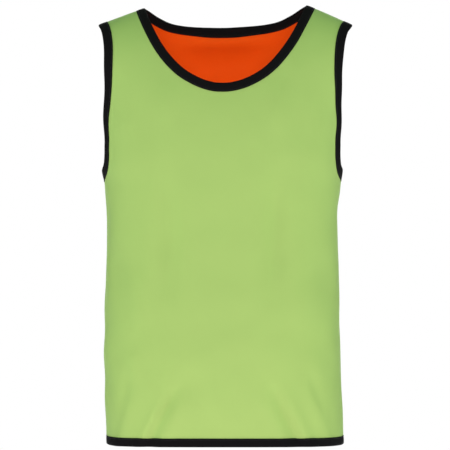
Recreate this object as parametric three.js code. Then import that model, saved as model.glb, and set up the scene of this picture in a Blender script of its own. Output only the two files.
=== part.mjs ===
// A reversible training bib, filled out as if it were worn: a sleeveless tube of two cloth
// layers, lime outside and orange inside. Front and back are cut alike for both layers and
// meet at the side seams and on the shoulders. Black tape is folded over every raw edge:
// the round neck, the two armholes and the hem.
//
// Units are millimetres. Z is up, the front faces -Y and the wearer's left is at +X. The
// origin lies midway between the two neck points, on the shoulder ridge, where the wearer's
// shoulders carry the bib.
import * as THREE from "three";

// Driving sizes
const HEM_Z = -710; // cut edge of the panels at the side seams
const HEM_RISE = 3; // the hem hangs this much higher at the centre front
const HEM_RISE_FADE = 110; // height over which that rise dies out
const CHEST_Z = -220; // the fullest level, where the rounded shoulder part begins
const NECK_POINT_X = 132; // cut edge of the neck on the shoulder ridge
const NECK_POINT_Z = -1.2;
const SHOULDER_SPREAD = 125; // growth of the half width from the chest to the ridge
const SHOULDER_SLOPE = 0.44; // fall of the ridge for each mm outwards
const SLOPE_START_X = 105; // where the ridge starts to fall
const SLOPE_ROUNDING = 40; // rounding of that start
const SHOULDER_LEAN = 2.6; // the left neck point is this much higher, the right this much lower

const CLOTH = 1.0; // wall of one cloth layer
const GAP = 0.3; // between pieces that are sewn to each other
const TAPE = 1.0; // wall of the binding tape
const NECK_TAPE_WIDTH = 13.6; // finished width of the folded tape on each edge
const ARMHOLE_TAPE_WIDTH = 14.2;
const HEM_TAPE_WIDTH = 12.6;

// Mesh density, in steps
const NECK_STEPS = 11; // from the centre to the neck point
const SHOULDER_STEPS = 3;
const ARMHOLE_STEPS = 12; // from the underarm to the shoulder tip
const SIDE_STEPS = 10; // up the side seam
const SIDE_GRADING = 1.12; // over 1 sets the lower side steps closer
const ARC_SAMPLES = 36; // samples that measure a quarter of a ring
const CURVE_SAMPLES = 120; // samples that measure a pattern curve
const INSET_STEPS = 4; // small steps that walk in from an edge

// Level rings of the body, from the hem up to the chest: half width, depth in front of and
// behind the side line, squareness, where 2 is an ellipse, and how far the ring sways to the
// wearer's right.
const BODY_RINGS = [
  { z: -711, side: 191.2, front: 121, back: 106, square: 2.5, sway: 0.5 },
  { z: -640, side: 191.3, front: 118, back: 102, square: 2.5, sway: 3.0 },
  { z: -560, side: 190.3, front: 114, back: 98, square: 2.5, sway: 5.2 },
  { z: -480, side: 189.2, front: 111, back: 95, square: 2.5, sway: 5.4 },
  { z: -420, side: 187.7, front: 110, back: 94, square: 2.5, sway: 5.0 },
  { z: -365, side: 186.0, front: 111.5, back: 96, square: 2.5, sway: 5.0 },
  { z: -330, side: 186.6, front: 114, back: 99, square: 2.5, sway: 5.2 },
  { z: -305, side: 188.8, front: 116.5, back: 101, square: 2.5, sway: 5.2 },
  { z: -284, side: 190.6, front: 118.5, back: 103, square: 2.5, sway: 5.0 },
  { z: -264, side: 194.4, front: 120, back: 105, square: 2.55, sway: 5.0 },
  { z: -242, side: 197.2, front: 121.5, back: 107, square: 2.6, sway: 4.8 },
  { z: -220, side: 198.0, front: 122, back: 108, square: 2.6, sway: 4.6 },
];

// Cut edge of the neck, from the centre to the neck point: half the opening at that height.
const NECK_FRONT = [
  { across: 0, z: -130.2 },
  { across: 29, z: -125.2 },
  { across: 59.8, z: -109.2 },
  { across: 78.6, z: -92.6 },
  { across: 92.4, z: -75.8 },
  { across: 104.0, z: -58.4 },
  { across: 113.2, z: -41.4 },
  { across: 123.5, z: -20.0 },
];
const NECK_BACK = [
  { across: 0, z: -31.5 },
  { across: 40, z: -29.0 },
  { across: 71, z: -25.0 },
  { across: 90, z: -20.6 },
  { across: 105, z: -13.8 },
  { across: 118, z: -6.4 },
];

// Cut edge of the armhole, from the underarm to the shoulder tip: half the spacing of the
// two armholes at that height.
const UNDERARM_Z = -266.5;
const ARMHOLE_FRONT = [
  { across: 190.8, z: -258.5 },
  { across: 188.8, z: -243 },
  { across: 188.2, z: -224 },
  { across: 188.8, z: -186 },
  { across: 189.3, z: -147 },
  { across: 190.0, z: -104 },
  { across: 191.0, z: -79 },
  { across: 193.6, z: -58 },
  { across: 198.6, z: -40.5 },
];
const ARMHOLE_BACK = [
  { across: 191.4, z: -258.5 },
  { across: 189.6, z: -243 },
  { across: 189.2, z: -224 },
  { across: 190.0, z: -186 },
  { across: 190.4, z: -147 },
  { across: 190.8, z: -104 },
  { across: 191.6, z: -79 },
  { across: 194.0, z: -58 },
  { across: 198.8, z: -40.5 },
];
const SHOULDER_TIP_X = 204.8; // cut edge of the armhole on the shoulder ridge

// Soft folds: a straight run on the front or back, given by its distance across from the
// centre line and its height at both ends, then its half width and how far it stands out
// (or is sunk in, if negative).
const FOLDS = [
  { face: "front", x0: -86, z0: -330, x1: -84, z1: -500, width: 21, out: -3.0 },
  { face: "front", x0: 89, z0: -310, x1: 86, z1: -480, width: 21, out: -3.0 },
  { face: "front", x0: -134, z0: -420, x1: -132, z1: -530, width: 24, out: 3.2 },
  { face: "front", x0: 131, z0: -430, x1: 133, z1: -540, width: 24, out: 3.2 },
  { face: "front", x0: -136, z0: -545, x1: -164, z1: -620, width: 20, out: 2.4 },
  { face: "front", x0: 138, z0: -545, x1: 166, z1: -625, width: 20, out: 2.4 },
  { face: "front", x0: -190, z0: -405, x1: -188, z1: -500, width: 30, out: -5.0 },
  { face: "front", x0: 188, z0: -415, x1: 190, z1: -500, width: 30, out: -5.0 },
  { face: "front", x0: -72, z0: -635, x1: -102, z1: -712, width: 17, out: -3.0 },
  { face: "front", x0: 81, z0: -630, x1: 106, z1: -712, width: 17, out: -3.0 },
  { face: "front", x0: -102, z0: -640, x1: -136, z1: -712, width: 18, out: 3.2 },
  { face: "front", x0: 106, z0: -640, x1: 132, z1: -712, width: 18, out: 3.2 },
  { face: "front", x0: -176, z0: -190, x1: -186, z1: -150, width: 26, out: -3.4 },
  { face: "front", x0: 178, z0: -188, x1: 188, z1: -150, width: 26, out: -3.4 },
  { face: "front", x0: -100, z0: -112, x1: -84, z1: -210, width: 22, out: 2.0 },
  { face: "front", x0: 100, z0: -112, x1: 84, z1: -210, width: 22, out: 2.0 },
  { face: "back", x0: -78, z0: -84, x1: 74, z1: -80, width: 19, out: -4.0 },
  { face: "back", x0: -84, z0: -18, x1: 84, z1: -18, width: 26, out: 6.0 },
  { face: "back", x0: -92, z0: -300, x1: -104, z1: -520, width: 26, out: -4.0 },
  { face: "back", x0: 84, z0: -330, x1: 98, z1: -560, width: 24, out: -3.6 },
  { face: "back", x0: -14, z0: -380, x1: 6, z1: -600, width: 28, out: -3.2 },
  { face: "back", x0: -52, z0: -560, x1: -40, z1: -712, width: 24, out: 3.6 },
  { face: "back", x0: 60, z0: -600, x1: 78, z1: -712, width: 22, out: 3.2 },
  { face: "back", x0: 148, z0: -560, x1: 164, z1: -712, width: 20, out: -3.4 },
  { face: "back", x0: -142, z0: -600, x1: -160, z1: -712, width: 20, out: -3.4 },
  { face: "back", x0: -150, z0: -160, x1: -120, z1: -270, width: 24, out: -3.0 },
  { face: "back", x0: 152, z0: -170, x1: 118, z1: -262, width: 24, out: -3.0 },
];

// Fall of the shoulder ridge from its middle, at a distance across.
function ridgeFall(x) {
  const past = Math.abs(x) - SLOPE_START_X;
  return (SHOULDER_SLOPE / 2) * (past + Math.hypot(past, SLOPE_ROUNDING));
}

// Reads the body rings at a height, along smooth curves that end level at the chest.
function bodyRing(z) {
  const last = BODY_RINGS.length - 1;
  const at = Math.min(Math.max(z, BODY_RINGS[0].z), BODY_RINGS[last].z);
  const i = Math.min(BODY_RINGS.findLastIndex((row) => row.z <= at), last - 1);
  const slope = (n, key) => {
    if (n === last) return 0;
    if (n === 0) return (BODY_RINGS[1][key] - BODY_RINGS[0][key]) / (BODY_RINGS[1].z - BODY_RINGS[0].z);
    return (BODY_RINGS[n + 1][key] - BODY_RINGS[n - 1][key]) / (BODY_RINGS[n + 1].z - BODY_RINGS[n - 1].z);
  };
  const span = BODY_RINGS[i + 1].z - BODY_RINGS[i].z;
  const t = (at - BODY_RINGS[i].z) / span;
  const ring = {};
  for (const key of ["side", "front", "back", "square", "sway"]) {
    ring[key] =
      BODY_RINGS[i][key] * (1 + 2 * t) * (1 - t) ** 2 +
      slope(i, key) * span * t * (1 - t) ** 2 +
      BODY_RINGS[i + 1][key] * t * t * (3 - 2 * t) +
      slope(i + 1, key) * span * t * t * (t - 1);
  }
  return ring;
}

const CHEST = bodyRing(CHEST_Z);
const CHEST_LEVEL = CHEST_Z - HEM_Z;
const DOME_HEIGHT = ridgeFall(NECK_POINT_X) + NECK_POINT_Z - CHEST_Z;
const DOME_LENGTH = (Math.PI / 2) * Math.sqrt((DOME_HEIGHT ** 2 + CHEST.front ** 2) / 2);
const TOP_LEVEL = CHEST_LEVEL + DOME_LENGTH;

// The ring at a level. Levels count up the cloth from the hem: the height in the body, then
// the way up a quarter ellipse that closes on the shoulder ridge.
function ringAt(level) {
  if (level <= CHEST_LEVEL) {
    return { z: HEM_Z + level, ...bodyRing(HEM_Z + level), yoke: 0 };
  }
  const turn = (Math.min(1, (level - CHEST_LEVEL) / DOME_LENGTH) * Math.PI) / 2;
  const up = Math.sin(turn);
  const out = Math.max(0, Math.cos(turn));
  return {
    z: CHEST_Z + DOME_HEIGHT * up,
    side: CHEST.side + SHOULDER_SPREAD * up * up,
    front: CHEST.front * out,
    back: CHEST.back * out,
    square: CHEST.square,
    sway: CHEST.sway * (1 - up * up),
    yoke: up ** 3,
  };
}

// The point of a ring's quarter at an angle from the centre line, without its height.
function quarterPoint(ring, face, turn) {
  const power = 2 / ring.square;
  const across = ring.side * Math.max(0, Math.sin(turn)) ** power;
  const depth = ring[face] * Math.max(0, Math.cos(turn)) ** power;
  return [across, face === "front" ? -depth : depth];
}

// Lengths along a ring's quarter, from the centre line to the side line.
function quarterLengths(ring, face) {
  const lengths = [0];
  let [x, y] = quarterPoint(ring, face, 0);
  for (let i = 1; i <= ARC_SAMPLES; i++) {
    const [nextX, nextY] = quarterPoint(ring, face, (i / ARC_SAMPLES) * (Math.PI / 2));
    lengths.push(lengths[i - 1] + Math.hypot(nextX - x, nextY - y));
    [x, y] = [nextX, nextY];
  }
  return lengths;
}

// The angle at a share of the quarter's length.
function turnAtShare(lengths, share) {
  const wanted = share * lengths[ARC_SAMPLES];
  let i = 1;
  while (i < ARC_SAMPLES && lengths[i] < wanted) i++;
  const part = (wanted - lengths[i - 1]) / (lengths[i] - lengths[i - 1]);
  return ((i - 1 + part) / ARC_SAMPLES) * (Math.PI / 2);
}

// A point of the smooth form without folds. The share runs from -1 to 1 across a face, from
// side line to side line, in equal lengths of cloth.
function formPoint(face, share, level) {
  const ring = ringAt(level);
  const turn = turnAtShare(quarterLengths(ring, face), Math.abs(share));
  const [across, y] = quarterPoint(ring, face, turn);
  const x = Math.sign(share) * across;
  const lean = SHOULDER_LEAN * Math.sin((Math.PI * x) / SHOULDER_TIP_X);
  const rise = HEM_RISE * Math.cos(turn) ** 2 * Math.exp(-level / HEM_RISE_FADE);
  return new THREE.Vector3(x - ring.sway, y, ring.z + rise - ring.yoke * (ridgeFall(x) - lean));
}

// Cross product of the two directions along a face at a place, and which way is out.
function normalOf(pointAt, face, share, level) {
  const shareStep = 0.004;
  const levelStep = 1.5;
  const across = pointAt(face, Math.min(1, share + shareStep), level).sub(
    pointAt(face, Math.max(-1, share - shareStep), level),
  );
  const up = pointAt(face, share, Math.min(TOP_LEVEL, level + levelStep)).sub(
    pointAt(face, share, Math.max(0, level - levelStep)),
  );
  const normal = across.cross(up).normalize();
  return face === "front" ? normal : normal.negate();
}

// How far the folds stand out at a place.
function foldAt(face, share, level) {
  const ring = ringAt(level);
  const front = quarterLengths(ring, "front")[ARC_SAMPLES];
  const back = quarterLengths(ring, "back")[ARC_SAMPLES];
  const own = Math.abs(share) * (face === "front" ? front : back);
  const other = front + back - own;
  const hand = share < 0 ? -1 : 1;
  let out = 0;
  for (const fold of FOLDS) {
    const across = hand * (fold.face === face ? own : other);
    const alongX = fold.x1 - fold.x0;
    const alongZ = fold.z1 - fold.z0;
    const t = ((across - fold.x0) * alongX + (ring.z - fold.z0) * alongZ) / (alongX ** 2 + alongZ ** 2);
    const part = Math.min(1, Math.max(0, t));
    const away = Math.hypot(across - fold.x0 - part * alongX, ring.z - fold.z0 - part * alongZ);
    out += fold.out * Math.exp(-((away / fold.width) ** 2));
  }
  return out * (1 - ring.yoke ** 2);
}

// A point midway between the two cloth layers, folds included.
function clothPoint(face, share, level) {
  const out = foldAt(face, share, level);
  return formPoint(face, share, level).addScaledVector(normalOf(formPoint, face, share, level), out);
}

// A place on the cloth, with its point and its outward normal.
function place(face, share, level) {
  return {
    face,
    share,
    level,
    point: clothPoint(face, share, level),
    normal: normalOf(clothPoint, face, share, level),
  };
}

// The level at which a face has a height, at a share or at a distance across.
function levelAtHeight(face, shareAt, z) {
  let low = 0;
  let high = TOP_LEVEL;
  for (let i = 0; i < 40; i++) {
    const middle = (low + high) / 2;
    if (formPoint(face, shareAt(middle), middle).z < z) low = middle;
    else high = middle;
  }
  return (low + high) / 2;
}

// The share at which a ring is that far across.
function shareAcross(face, level, across) {
  const ring = ringAt(level);
  const turn = Math.asin(Math.min(1, across / ring.side) ** (ring.square / 2));
  const lengths = quarterLengths(ring, face);
  const at = (turn / (Math.PI / 2)) * ARC_SAMPLES;
  const i = Math.min(ARC_SAMPLES - 1, Math.floor(at));
  return (lengths[i] + (lengths[i + 1] - lengths[i]) * (at - i)) / lengths[ARC_SAMPLES];
}

// A smooth curve through pattern points of share and level. Its ends run on into mirrored
// points, so that it crosses the lines where the panel ends squarely.
function patternCurve(knots, before, after) {
  const all = [before, ...knots, after];
  const scale = 270; // a share's length in mm, near enough
  const distance = (a, b) => Math.sqrt(Math.hypot((b.share - a.share) * scale, b.level - a.level));
  const samples = [];
  for (let i = 1; i < all.length - 2; i++) {
    const times = [0];
    for (let k = 0; k < 3; k++) times.push(times[k] + distance(all[i - 1 + k], all[i + k]));
    const mix = (a, b, from, to, t, key) => (a[key] * (to - t) + b[key] * (t - from)) / (to - from);
    for (let n = 0; n < CURVE_SAMPLES / 8; n++) {
      const t = times[1] + ((times[2] - times[1]) * n) / (CURVE_SAMPLES / 8);
      const spot = {};
      for (const key of ["share", "level"]) {
        const first = [0, 1, 2].map((k) => ({
          [key]: mix(all[i - 1 + k], all[i + k], times[k], times[k + 1], t, key),
        }));
        const second = [0, 1].map((k) => ({
          [key]: mix(first[k], first[k + 1], times[k], times[k + 2], t, key),
        }));
        spot[key] = mix(second[0], second[1], times[1], times[2], t, key);
      }
      samples.push(spot);
    }
  }
  samples.push(knots[knots.length - 1]);
  return samples;
}

// Equal steps of cloth length along a pattern curve.
function evenSteps(face, samples, steps) {
  const lengths = [0];
  for (let i = 1; i < samples.length; i++) {
    const a = formPoint(face, samples[i - 1].share, samples[i - 1].level);
    const b = formPoint(face, samples[i].share, samples[i].level);
    lengths.push(lengths[i - 1] + a.distanceTo(b));
  }
  const total = lengths[lengths.length - 1];
  return Array.from({ length: steps + 1 }, (_, n) => {
    const wanted = (total * n) / steps;
    const i = Math.max(1, lengths.findIndex((length) => length >= wanted - 1e-9));
    const part = (wanted - lengths[i - 1]) / (lengths[i] - lengths[i - 1]);
    return {
      share: samples[i - 1].share + (samples[i].share - samples[i - 1].share) * part,
      level: samples[i - 1].level + (samples[i].level - samples[i - 1].level) * part,
    };
  });
}

const SEAM_SHARE = 1 - GAP / 2 / 258; // side seam edge of a panel
const SEAM_LEVEL = TOP_LEVEL - 0.3; // shoulder seam edge of a panel

// Half of the neck's cut edge on a face, from the centre to the shoulder seam.
function neckEdge(face) {
  const rows = face === "front" ? NECK_FRONT : NECK_BACK;
  const knots = rows.map(({ across, z }) => {
    const level = levelAtHeight(face, (at) => shareAcross(face, at, across), z);
    return { share: shareAcross(face, level, across), level };
  });
  knots.push({ share: NECK_POINT_X / ringAt(TOP_LEVEL).side, level: SEAM_LEVEL });
  const first = { share: -knots[1].share, level: knots[1].level };
  const last = knots[knots.length - 2];
  const after = { share: last.share, level: 2 * TOP_LEVEL - last.level };
  return evenSteps(face, patternCurve(knots, first, after), NECK_STEPS);
}

// An armhole's cut edge on a face, from the underarm to the shoulder seam.
function armholeEdge(face) {
  const rows = face === "front" ? ARMHOLE_FRONT : ARMHOLE_BACK;
  const knots = [{ share: SEAM_SHARE, level: levelAtHeight(face, () => 1, UNDERARM_Z) }];
  for (const { across, z } of rows) {
    const level = levelAtHeight(face, (at) => shareAcross(face, at, across), z);
    knots.push({ share: shareAcross(face, level, across), level });
  }
  knots.push({ share: SHOULDER_TIP_X / ringAt(TOP_LEVEL).side, level: SEAM_LEVEL });
  const before = { share: 2 - knots[1].share, level: knots[1].level };
  const last = knots[knots.length - 2];
  const after = { share: last.share, level: 2 * TOP_LEVEL - last.level };
  return evenSteps(face, patternCurve(knots, before, after), ARMHOLE_STEPS);
}

// Walks over the cloth from a place for a distance, at right angles to a direction.
function walkFrom(face, start, along, inwards, distance) {
  const step = distance / INSET_STEPS;
  let { share, level } = start;
  for (let i = 0; i < INSET_STEPS; i++) {
    const origin = formPoint(face, share, level);
    const byShare = formPoint(face, share + (share > 0 ? -0.01 : 0.01), level).sub(origin);
    const byLevel = formPoint(face, share, level - 1).sub(origin);
    const normal = normalOf(formPoint, face, share, level);
    const aim = normal.clone().cross(along).normalize();
    if (aim.dot(byShare.clone().multiplyScalar(inwards.share).addScaledVector(byLevel, inwards.level)) < 0) {
      aim.negate();
    }
    const ss = byShare.dot(byShare);
    const sl = byShare.dot(byLevel);
    const ll = byLevel.dot(byLevel);
    const as = aim.dot(byShare);
    const al = aim.dot(byLevel);
    const determinant = ss * ll - sl * sl;
    share += ((share > 0 ? -0.01 : 0.01) * step * (as * ll - al * sl)) / determinant;
    level += (-step * (al * ss - as * sl)) / determinant;
  }
  return { share, level };
}

// Walks along a seam instead, by share or by level alone.
function walkOnSeam(face, start, by, distance) {
  const origin = formPoint(face, start.share, start.level);
  const probe = { share: start.share + (by.share ?? 0) * 0.01, level: start.level + (by.level ?? 0) };
  const speed = formPoint(face, probe.share, probe.level).distanceTo(origin);
  return {
    share: start.share + ((by.share ?? 0) * 0.01 * distance) / speed,
    level: start.level + ((by.level ?? 0) * distance) / speed,
  };
}

// The strip of cloth under a folded tape: for each step along a cut edge, the places at the
// edge, half way in and where the tape ends.
function edgeStrip(face, edge, width, inwards, startBy, endBy) {
  return edge.map((spot, i) => {
    const before = edge[Math.max(0, i - 1)];
    const after = edge[Math.min(edge.length - 1, i + 1)];
    const along = formPoint(face, after.share, after.level).sub(formPoint(face, before.share, before.level));
    return [0, width / 2, width].map((distance) => {
      if (i === 0 && startBy) return walkOnSeam(face, spot, startBy, distance);
      if (i === edge.length - 1) return walkOnSeam(face, spot, endBy, distance);
      return walkFrom(face, spot, along, inwards, distance);
    });
  });
}

const mirrored = (strip) => strip.map((row) => row.map(({ share, level }) => ({ share: -share, level })));

// The three taped strips of a face, each from left to right or from the hem upwards.
function stripsOf(face) {
  const neckHalf = edgeStrip(face, neckEdge(face), NECK_TAPE_WIDTH, { share: -0.3, level: 1 }, null, { share: 1 });
  neckHalf[0] = neckHalf[0].map(({ level }) => ({ share: 0, level }));
  const armhole = edgeStrip(
    face,
    armholeEdge(face),
    ARMHOLE_TAPE_WIDTH,
    { share: 1, level: 0.6 },
    { level: -1 },
    { share: -1 },
  );
  const columns = 2 * (NECK_STEPS + SHOULDER_STEPS);
  const hem = Array.from({ length: columns + 1 }, (_, i) =>
    [0, HEM_TAPE_WIDTH / 2, HEM_TAPE_WIDTH].map((level) => ({
      share: SEAM_SHARE * ((2 * i) / columns - 1),
      level,
    })),
  );
  return {
    neck: [...mirrored(neckHalf).reverse(), ...neckHalf.slice(1)],
    armholeRight: mirrored(armhole),
    armholeLeft: armhole,
    hem,
  };
}

// Splits a four-sided cell along the shorter diagonal of the middle surface.
function splitCell(corners, points) {
  const [a, b, c, d] = corners;
  const [p, q, r, s] = points;
  if (p.distanceTo(r) <= q.distanceTo(s)) {
    return [
      [a, b, c],
      [a, c, d],
    ];
  }
  return [
    [a, b, d],
    [b, c, d],
  ];
}

// A surface patch that collects places and triangles, and finds a place again by its spot.
class Patch {
  constructor(face) {
    this.face = face;
    this.places = [];
    this.triangles = [];
    this.index = new Map();
  }

  add({ share, level }) {
    const key = `${share.toFixed(7)} ${level.toFixed(5)}`;
    if (!this.index.has(key)) {
      this.index.set(key, this.places.length);
      this.places.push(place(this.face, share, level));
    }
    return this.index.get(key);
  }

  cell(...corners) {
    const points = corners.map((n) => this.places[n].point);
    this.triangles.push(...splitCell(corners, points));
  }

  // Joins rows of spots, each row as long as the next.
  rows(spots) {
    const numbers = spots.map((row) => row.map((spot) => this.add(spot)));
    for (let j = 0; j + 1 < numbers.length; j++) {
      for (let i = 0; i + 1 < numbers[j].length; i++) {
        this.cell(numbers[j][i], numbers[j][i + 1], numbers[j + 1][i + 1], numbers[j + 1][i]);
      }
    }
  }
}

// Fills a four-sided outline with rows of spots that bend from its bottom to its top.
function fillOutline(bottom, top, left, right) {
  const parts = (line, key) => {
    const length = line[line.length - 1][key] - line[0][key];
    return line.map((spot) => (spot[key] - line[0][key]) / length);
  };
  const acrossBottom = parts(bottom, "share");
  const acrossTop = parts(top, "share");
  return parts(left, "level").map((up, j) =>
    bottom.map((foot, i) => {
      const across = (1 - up) * acrossBottom[i] + up * acrossTop[i];
      return {
        share: left[j].share + (right[j].share - left[j].share) * across,
        level: foot.level + (top[i].level - foot.level) * up,
      };
    }),
  );
}

// One panel of cloth as a surface: the middle, and the taped strips round it.
function panelPatch(face, strips) {
  const inner = (strip) => strip.map((row) => row[2]);
  const sideUp = (armhole) => {
    const foot = { share: Math.sign(armhole[0][2].share) * SEAM_SHARE, level: HEM_TAPE_WIDTH };
    return Array.from({ length: SIDE_STEPS }, (_, j) => ({
      share: foot.share,
      level: foot.level + (armhole[0][2].level - foot.level) * (j / SIDE_STEPS) ** SIDE_GRADING,
    }));
  };
  const shoulder = (from, to) =>
    Array.from({ length: SHOULDER_STEPS }, (_, i) => ({
      share: from.share + ((to.share - from.share) * i) / SHOULDER_STEPS,
      level: SEAM_LEVEL,
    }));
  const right = [...sideUp(strips.armholeRight), ...inner(strips.armholeRight)];
  const left = [...sideUp(strips.armholeLeft), ...inner(strips.armholeLeft)];
  const neck = inner(strips.neck);
  const top = [
    ...shoulder(right[right.length - 1], neck[0]),
    ...neck,
    ...shoulder(left[left.length - 1], neck[neck.length - 1]).reverse(),
  ];
  const patch = new Patch(face);
  patch.rows(fillOutline(inner(strips.hem), top, right, left));
  const across = (strip) => [0, 1, 2].map((k) => strip.map((row) => row[k]));
  patch.rows(across(strips.hem));
  patch.rows(across(strips.neck).reverse());
  patch.rows(strips.armholeRight);
  patch.rows(strips.armholeLeft.map((row) => [...row].reverse()));
  return patch;
}

// Makes a closed mesh of points and triangles, turned so that its faces point out.
function closedGeometry(points, triangles) {
  let volume = 0;
  for (const [a, b, c] of triangles) volume += points[a].dot(points[b].clone().cross(points[c])) / 6;
  const turned = volume < 0 ? triangles.map(([a, b, c]) => [a, c, b]) : triangles;
  const geometry = new THREE.BufferGeometry();
  geometry.setAttribute("position", new THREE.Float32BufferAttribute(points.flatMap((p) => p.toArray()), 3));
  geometry.setIndex(turned.flat());
  geometry.computeVertexNormals();
  return geometry;
}

// Thickens a patch into a wall between two distances along its normals.
function wallGeometry(patch, inside, outside) {
  const count = patch.places.length;
  const layer = (distance) => patch.places.map(({ point, normal }) => point.clone().addScaledVector(normal, distance));
  const triangles = [];
  const open = new Map();
  for (const [a, b, c] of patch.triangles) {
    triangles.push([a, b, c], [a + count, c + count, b + count]);
    for (const [from, to] of [
      [a, b],
      [b, c],
      [c, a],
    ]) {
      if (!open.delete(`${to} ${from}`)) open.set(`${from} ${to}`, [from, to]);
    }
  }
  for (const [from, to] of open.values()) {
    triangles.push([to, from, from + count], [to, from + count, to + count]);
  }
  return closedGeometry([...layer(outside), ...layer(inside)], triangles);
}

// The folded tape round a closed row of strip steps: a channel over the cloth's edge.
function tapeGeometry(steps) {
  const clear = CLOTH + GAP / 2 + GAP; // from the middle of the cloth to the tape
  const outside = clear + TAPE;
  const points = [];
  const under = [];
  for (const [edge, middle, end] of steps) {
    const off = edge.point.clone().sub(middle.point);
    off.addScaledVector(edge.normal, -off.dot(edge.normal)).normalize();
    const at = (spot, height, beyond = 0) => {
      points.push(spot.point.clone().addScaledVector(spot.normal, height).addScaledVector(off, beyond));
      under.push(spot.point);
    };
    at(end, outside);
    at(middle, outside);
    at(edge, outside);
    at(edge, outside / 2, GAP + TAPE);
    at(edge, -outside / 2, GAP + TAPE);
    at(edge, -outside);
    at(middle, -outside);
    at(end, -outside);
    at(end, -clear);
    at(middle, -clear);
    at(edge, -clear, GAP);
    at(edge, clear, GAP);
    at(middle, clear);
    at(end, clear);
  }
  const round = points.length / steps.length;
  const triangles = [];
  for (let i = 0; i < steps.length; i++) {
    const here = i * round;
    const next = ((i + 1) % steps.length) * round;
    for (let k = 0; k < round; k++) {
      const after = (k + 1) % round;
      const corners = [here + k, next + k, next + after, here + after];
      triangles.push(...splitCell(corners, corners.map((n) => under[n])));
    }
  }
  return closedGeometry(points, triangles);
}

const strips = { front: stripsOf("front"), back: stripsOf("back") };
const placed = (face, strip) => strip.map((row) => row.map(({ share, level }) => place(face, share, level)));

// A tape's steps: along the front's edge, then back along the back's, without a second
// step at either seam.
function tapeRound(edge) {
  const there = placed("front", strips.front[edge]);
  const home = placed("back", strips.back[edge]).reverse();
  return [...there, ...home.slice(1, -1)];
}

const bib = new THREE.Group();
const LIME = new THREE.MeshStandardMaterial({ color: 0xa9cc70, roughness: 0.75, metalness: 0 });
const ORANGE = new THREE.MeshStandardMaterial({ color: 0xdf4a12, roughness: 0.75, metalness: 0 });
const BLACK = new THREE.MeshStandardMaterial({ color: 0x1a191d, roughness: 0.85, metalness: 0 });

function addPiece(name, geometry, material) {
  const piece = new THREE.Mesh(geometry, material);
  piece.name = name;
  bib.add(piece);
}

for (const face of ["front", "back"]) {
  const patch = panelPatch(face, strips[face]);
  addPiece(`${face}_lime`, wallGeometry(patch, GAP / 2, GAP / 2 + CLOTH), LIME);
  addPiece(`${face}_orange`, wallGeometry(patch, -GAP / 2 - CLOTH, -GAP / 2), ORANGE);
}
addPiece("neck_binding", tapeGeometry(tapeRound("neck")), BLACK);
addPiece("armhole_binding_right", tapeGeometry(tapeRound("armholeRight")), BLACK);
addPiece("armhole_binding_left", tapeGeometry(tapeRound("armholeLeft")), BLACK);
addPiece("hem_binding", tapeGeometry(tapeRound("hem")), BLACK);

export default bib;
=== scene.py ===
"""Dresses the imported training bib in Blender.

Each panel gets its two layers of close knit cloth, every raw edge its folded and stitched
tape, and the bib hangs in a plain studio, seen from straight in front.
"""

import logging
import math
from dataclasses import dataclass, field
from enum import Enum

import bpy
import numpy as np
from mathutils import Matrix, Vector


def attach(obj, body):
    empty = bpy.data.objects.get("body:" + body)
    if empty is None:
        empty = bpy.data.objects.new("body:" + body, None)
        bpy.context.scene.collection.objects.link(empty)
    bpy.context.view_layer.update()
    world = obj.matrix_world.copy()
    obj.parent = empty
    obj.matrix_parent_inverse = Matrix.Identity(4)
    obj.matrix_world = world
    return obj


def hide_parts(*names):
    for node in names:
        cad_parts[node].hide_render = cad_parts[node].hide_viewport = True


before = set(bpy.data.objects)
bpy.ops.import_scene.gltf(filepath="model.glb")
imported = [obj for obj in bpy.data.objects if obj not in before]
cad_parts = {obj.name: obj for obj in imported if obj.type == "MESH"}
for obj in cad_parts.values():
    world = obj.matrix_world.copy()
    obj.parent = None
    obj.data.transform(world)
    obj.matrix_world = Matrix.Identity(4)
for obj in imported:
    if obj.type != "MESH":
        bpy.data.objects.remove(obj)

log = logging.getLogger("bib")

MM = 0.001
BODY = "root"
# Half a panel's width of cloth in millimetres, roughly: for spacing a curve's knots, for the
# points across the hem, and for the gap at a side seam
SHARE_LENGTH = 270.0
HALF_PANEL = 262.0
HALF_BACK = 258.0
# A distance across that no ring reaches, so it stands for the side seam
PAST_THE_SIDE = 1e3
CURVE_STEPS = 15
HALVINGS = 40
# The knit, in parts of its pitch: where an eyelet's slope starts and ends, and the height of
# its loops in parts of an eyelet's depth. The shift keeps every place on it positive.
EYELET_RADII = (0.16, 0.34)
LOOP_HEIGHT = 0.12
KNIT_SHIFT = 1000.0
# The tape's weave: the slant of its ribs, the height of its cross ribs in parts of theirs,
# and the heights between which a valley fades out
RIB_SLANT = 0.6
CROSS_RIB = 0.4
VALLEY_HEIGHTS = (-1.2, 0.2)
# The dyed cloth's unevenness: how many patches to a metre, and how many finer sizes of patch
PATCHES = 14.0
PATCH_DETAIL = 3.0

Array = np.ndarray
Table = dict[str, np.ndarray]
Colour = tuple[float, float, float]
Socket = bpy.types.NodeSocket
Value = Socket | float | tuple


class Face(Enum):
    """The two faces of the bib, with the side of the side seam each lies on."""

    FRONT = -1.0
    BACK = 1.0


class Layer(Enum):
    """The two layers of a panel, with the way each lies from the middle of the cloth."""

    LIME = 1.0
    ORANGE = -1.0


@dataclass(frozen=True)
class Ring:
    """A level ring of the body, in millimetres."""

    z: float
    side: float
    front: float
    back: float
    square: float
    sway: float


@dataclass(frozen=True)
class CutPoint:
    """A point of a cut edge: its distance from the centre line and its height, in millimetres."""

    across: float
    z: float


@dataclass(frozen=True)
class Fold:
    """A soft fold: a straight run on one face, its half width and how far it stands out."""

    face: Face
    x0: float
    z0: float
    x1: float
    z1: float
    width: float
    out: float


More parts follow.
